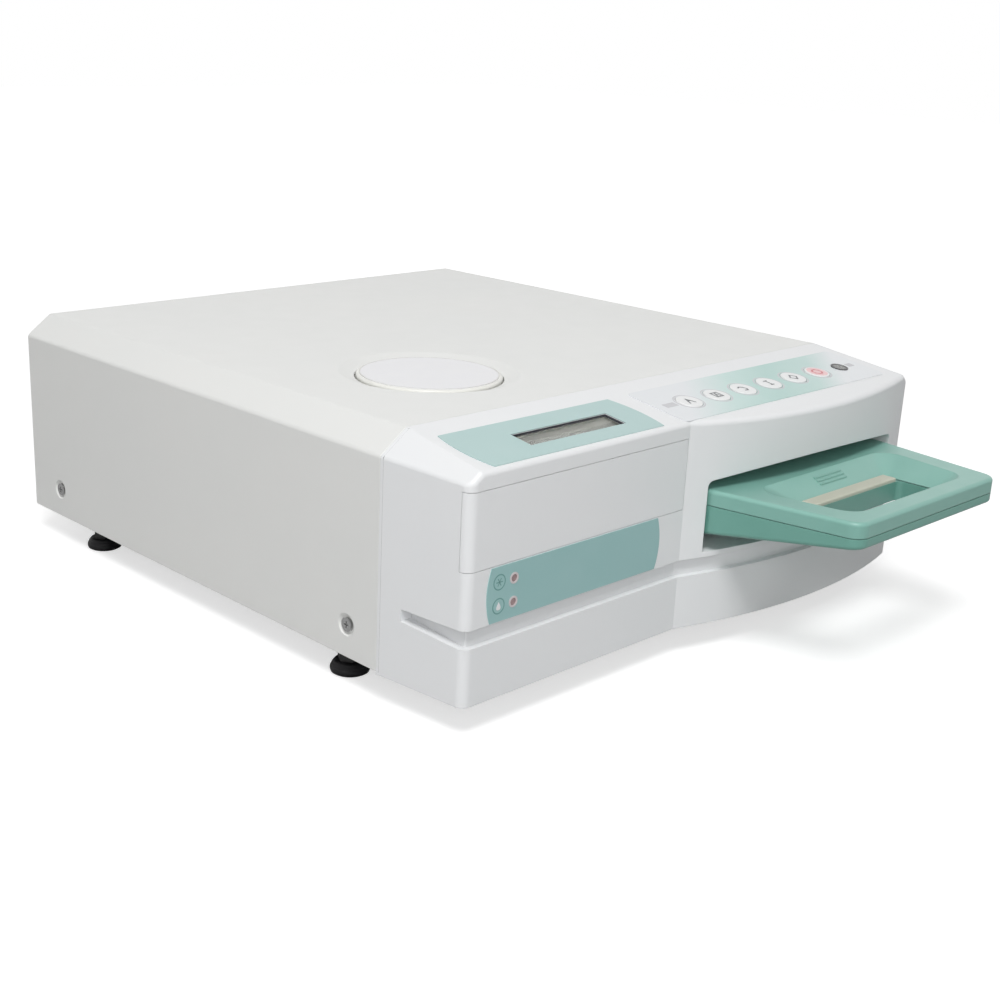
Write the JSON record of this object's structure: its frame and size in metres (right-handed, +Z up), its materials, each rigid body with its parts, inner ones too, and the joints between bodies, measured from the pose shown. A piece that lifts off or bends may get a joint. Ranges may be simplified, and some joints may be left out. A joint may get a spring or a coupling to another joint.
{
  "type": "cassette autoclave",
  "caption": "Low bench steam steriliser with a sliding cassette at the right, a sloping key panel, a round water filler cap and a rear fan, inlet and exhaust port.",
  "frame": {"origin": "on the bench, under the middle of the whole machine with its cassette pushed in", "axes": "+X to the right of someone facing the front, +Y to the rear, +Z up"},
  "size_m": [0.4334, 0.5636, 0.1615],
  "materials": {
    "cover_paint": "satin warm white powder coat",
    "pan_steel": "plain sheet steel",
    "fascia_plastic": "fine textured cool white",
    "bay_plastic": "fine textured cool white",
    "display_print": "printed overlay, pale teal",
    "lens": "clear display window",
    "module": "circuit board and display",
    "keypad_print": "printed overlay shading from pale grey to green",
    "key_white": "white key with a grey ring",
    "key_red": "pale red key",
    "board": "circuit board",
    "level_cup": "black",
    "vial": "clear vial with pale green spirit",
    "indicator_print": "printed overlay, darker teal",
    "lamp": "clear lamp",
    "cap_plastic": "moulded white",
    "seal_rubber": "soft black seal",
    "tank_plastic": "translucent white",
    "screw_steel": "bright screws",
    "cassette_steel": "bright pressed stainless",
    "gasket": "grey silicone seal",
    "handle_green": "sage green moulding",
    "bar_beige": "pale beige bar",
    "rack_wire": "bright wire",
    "bearer_steel": "bent sheet",
    "block": "machined block",
    "probe_brass": "turned tube",
    "generator": "cast body",
    "pump": "black body",
    "valve": "valve body",
    "compressor": "dark grey",
    "filter": "clear shell",
    "transformer": "laminated core",
    "fan_plastic": "black",
    "guard_wire": "bright wire",
    "inlet_plastic": "black",
    "pins": "plated pins",
    "rocker": "black rocker",
    "fitting": "turned fitting",
    "tube": "silicone tube",
    "foot_rubber": "black rubber",
    "stud_steel": "zinc plated"
  },
  "bodies": {
    "casing": {"cover": "cover_paint", "base_pan": "pan_steel", "rear_panel": "cover_paint", "fascia": "fascia_plastic", "bay_cover": "bay_plastic", "display_label": "display_print", "lcd_lens": "lens", "lcd_module": "module", "keypad_overlay": "keypad_print", "keypad_board": "board", "level_cup": "level_cup", "level_vial": "vial", "indicator_label": "indicator_print", "indicator_lamps": "lamp", "reservoir_tank": "tank_plastic", "side_screws": "screw_steel", "lower_bearer": "bearer_steel", "upper_bearer": "bearer_steel", "probe_block": "block", "steam_probes": "probe_brass", "steam_generator": "generator", "water_pump": "pump", "solenoid_valve": "valve", "compressor": "compressor", "air_filter": "filter", "control_board": "board", "transformer": "transformer", "fan_frame": "fan_plastic", "fan_guard": "guard_wire", "power_inlet": "inlet_plastic", "inlet_pins": "pins", "switch_frame": "inlet_plastic", "exhaust_fitting": "fitting", "rear_screws": "screw_steel", "steam_tubes": "tube"},
    "cassette": {"cassette_tray": "cassette_steel", "cassette_lid": "cassette_steel", "cassette_gasket": "gasket", "lid_handle": "handle_green", "tray_handle": "handle_green", "handle_bar": "bar_beige", "mesh_rack": "rack_wire"},
    "reservoir_cap": {"reservoir_cap": "cap_plastic", "cap_seal": "seal_rubber"},
    "fan_rotor": {"fan_rotor": "fan_plastic"},
    "power_switch": {"power_switch": "rocker"},
    "key_1": {"key_1": "key_white"},
    "key_2": {"key_2": "key_white"},
    "key_3": {"key_3": "key_white"},
    "key_4": {"key_4": "key_white"},
    "key_5": {"key_5": "key_white"},
    "key_6": {"key_6": "key_red"},
    "foot_pad_front_left": {"foot_pad_front_left": "foot_rubber"},
    "foot_stud_front_left": {"foot_stud_front_left": "stud_steel"},
    "foot_pad_front_right": {"foot_pad_front_right": "foot_rubber"},
    "foot_stud_front_right": {"foot_stud_front_right": "stud_steel"},
    "foot_pad_rear_left": {"foot_pad_rear_left": "foot_rubber"},
    "foot_stud_rear_left": {"foot_stud_rear_left": "stud_steel"},
    "foot_pad_rear_right": {"foot_pad_rear_right": "foot_rubber"},
    "foot_stud_rear_right": {"foot_stud_rear_right": "stud_steel"}
  },
  "joints": [
    {"name": "cassette_slide", "type": "slide", "parent": "casing", "child": "cassette", "axis": [0, -1, 0], "range_m": [0, 0.33]},
    {"name": "cap_lift", "type": "slide", "parent": "casing", "child": "reservoir_cap", "axis": [0, 0, 1], "range_m": [0, 0.06]},
    {"name": "fan_spin", "type": "hinge", "parent": "casing", "child": "fan_rotor", "pos_m": [-0.1392, 0.256, 0.098], "axis": [0, 1, 0], "continuous": true},
    {"name": "switch_rock", "type": "hinge", "parent": "casing", "child": "power_switch", "pos_m": [0.0908, 0.2698, 0.055], "axis": [1, 0, 0], "range_deg": [-16, 0]},
    {"name": "key_1_press", "type": "slide", "parent": "casing", "child": "key_1", "axis": [0, 0.1478, -0.989], "range_m": [0, 0.0005], "stiffness_N_per_m": 2000, "springref_m": -0.0003},
    {"name": "key_2_press", "type": "slide", "parent": "casing", "child": "key_2", "axis": [0, 0.1478, -0.989], "range_m": [0, 0.0005], "stiffness_N_per_m": 2000, "springref_m": -0.0003},
    {"name": "key_3_press", "type": "slide", "parent": "casing", "child": "key_3", "axis": [0, 0.1478, -0.989], "range_m": [0, 0.0005], "stiffness_N_per_m": 2000, "springref_m": -0.0003},
    {"name": "key_4_press", "type": "slide", "parent": "casing", "child": "key_4", "axis": [0, 0.1478, -0.989], "range_m": [0, 0.0005], "stiffness_N_per_m": 2000, "springref_m": -0.0003},
    {"name": "key_5_press", "type": "slide", "parent": "casing", "child": "key_5", "axis": [0, 0.1478, -0.989], "range_m": [0, 0.0005], "stiffness_N_per_m": 2000, "springref_m": -0.0003},
    {"name": "key_6_press", "type": "slide", "parent": "casing", "child": "key_6", "axis": [0, 0.1478, -0.989], "range_m": [0, 0.0005], "stiffness_N_per_m": 2000, "springref_m": -0.0003},
    {"name": "foot_front_left_height", "type": "slide", "parent": "casing", "child": "foot_pad_front_left", "axis": [0, 0, -1], "range_m": [-0.004, 0.006]},
    {"name": "foot_front_left_turn", "type": "hinge", "parent": "foot_pad_front_left", "child": "foot_stud_front_left", "pos_m": [-0.1987, -0.0718, 0.02], "axis": [0, 0, -1], "range_deg": [-1160, 1740]},
    {"name": "foot_front_right_height", "type": "slide", "parent": "casing", "child": "foot_pad_front_right", "axis": [0, 0, -1], "range_m": [-0.004, 0.006]},
    {"name": "foot_front_right_turn", "type": "hinge", "parent": "foot_pad_front_right", "child": "foot_stud_front_right", "pos_m": [0.1987, -0.0718, 0.02], "axis": [0, 0, -1], "range_deg": [-1160, 1740]},
    {"name": "foot_rear_left_height", "type": "slide", "parent": "casing", "child": "foot_pad_rear_left", "axis": [0, 0, -1], "range_m": [-0.004, 0.006]},
    {"name": "foot_rear_left_turn", "type": "hinge", "parent": "foot_pad_rear_left", "child": "foot_stud_rear_left", "pos_m": [-0.1987, 0.2076, 0.02], "axis": [0, 0, -1], "range_deg": [-1160, 1740]},
    {"name": "foot_rear_right_height", "type": "slide", "parent": "casing", "child": "foot_pad_rear_right", "axis": [0, 0, -1], "range_m": [-0.004, 0.006]},
    {"name": "foot_rear_right_turn", "type": "hinge", "parent": "foot_pad_rear_right", "child": "foot_stud_rear_right", "pos_m": [0.1987, 0.2076, 0.02], "axis": [0, 0, -1], "range_deg": [-1160, 1740]}
  ],
  "couplings": [
    {"joint": "foot_front_left_turn", "follows": "foot_front_left_height", "rad_per_m": 5026.6},
    {"joint": "foot_front_right_turn", "follows": "foot_front_right_height", "rad_per_m": 5026.6},
    {"joint": "foot_rear_left_turn", "follows": "foot_rear_left_height", "rad_per_m": 5026.6},
    {"joint": "foot_rear_right_turn", "follows": "foot_rear_right_height", "rad_per_m": 5026.6}
  ]
}
